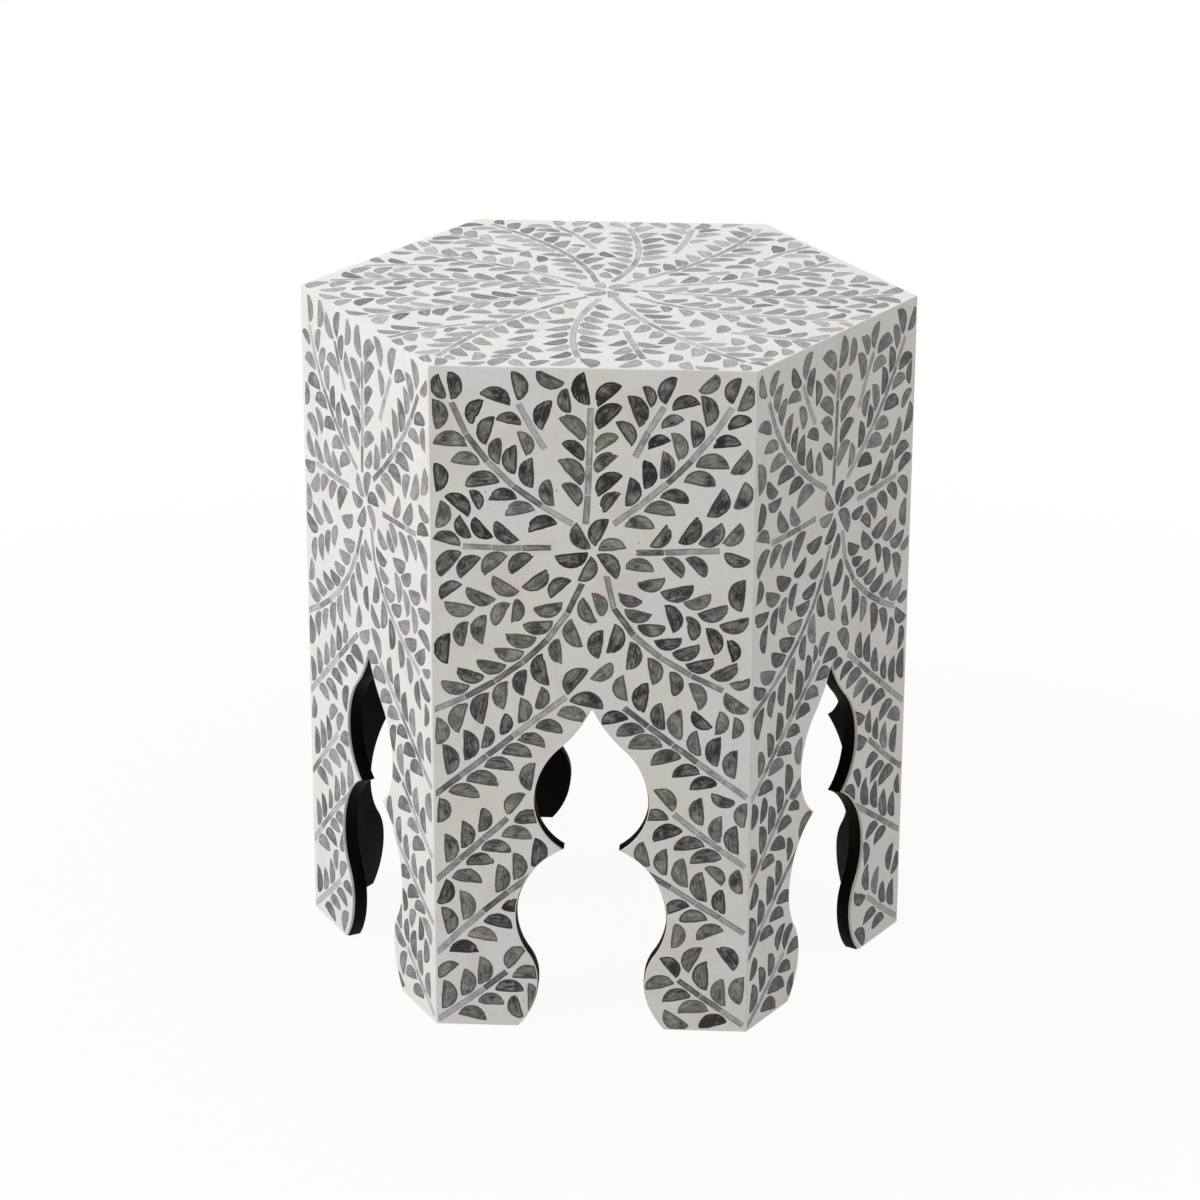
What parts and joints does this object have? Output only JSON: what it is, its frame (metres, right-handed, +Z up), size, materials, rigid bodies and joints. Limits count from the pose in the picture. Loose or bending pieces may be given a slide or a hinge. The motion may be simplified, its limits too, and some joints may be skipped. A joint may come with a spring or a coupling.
{
  "type": "hexagonal inlaid side table",
  "caption": "Hexagonal drum side table with arched cutouts in its sides, covered in resin with inlaid shell leaves and stems.",
  "frame": {"origin": "on the floor, under the middle of the hexagonal top", "axes": "+Z up; -Y is the outward normal of the front panel; two opposite corners lie on the X axis"},
  "size_m": [0.4494, 0.3898, 0.5],
  "materials": {
    "painted_board": "fibreboard, black satin paint",
    "painted_batten": "softwood, black satin paint",
    "resin": "cast, sanded flush, semi-gloss",
    "shell_leaf": "cut shell, polished flush",
    "shell_stem": "cut shell strip, polished flush",
    "screw_steel": "zinc plated"
  },
  "bodies": {
    "root": {"front_side_board": "painted_board", "front_resin_field": "resin", "front_shell_leaves": "shell_leaf", "front_shell_stems": "shell_stem", "front_right_side_board": "painted_board", "front_right_resin_field": "resin", "front_right_shell_leaves": "shell_leaf", "front_right_shell_stems": "shell_stem", "back_right_side_board": "painted_board", "back_right_resin_field": "resin", "back_right_shell_leaves": "shell_leaf", "back_right_shell_stems": "shell_stem", "back_side_board": "painted_board", "back_resin_field": "resin", "back_shell_leaves": "shell_leaf", "back_shell_stems": "shell_stem", "back_left_side_board": "painted_board", "back_left_resin_field": "resin", "back_left_shell_leaves": "shell_leaf", "back_left_shell_stems": "shell_stem", "front_left_side_board": "painted_board", "front_left_resin_field": "resin", "front_left_shell_leaves": "shell_leaf", "front_left_shell_stems": "shell_stem", "top_cleat_1": "painted_batten", "corner_block_1": "painted_batten", "top_cleat_2": "painted_batten", "corner_block_2": "painted_batten", "top_cleat_3": "painted_batten", "corner_block_3": "painted_batten", "top_cleat_4": "painted_batten", "corner_block_4": "painted_batten", "top_cleat_5": "painted_batten", "corner_block_5": "painted_batten", "top_cleat_6": "painted_batten", "corner_block_6": "painted_batten", "top_board": "painted_board", "top_resin_field": "resin", "top_shell_leaves": "shell_leaf", "top_shell_stems": "shell_stem", "cleat_screws_out": "screw_steel", "cleat_screws_up": "screw_steel"}
  },
  "joints": []
}
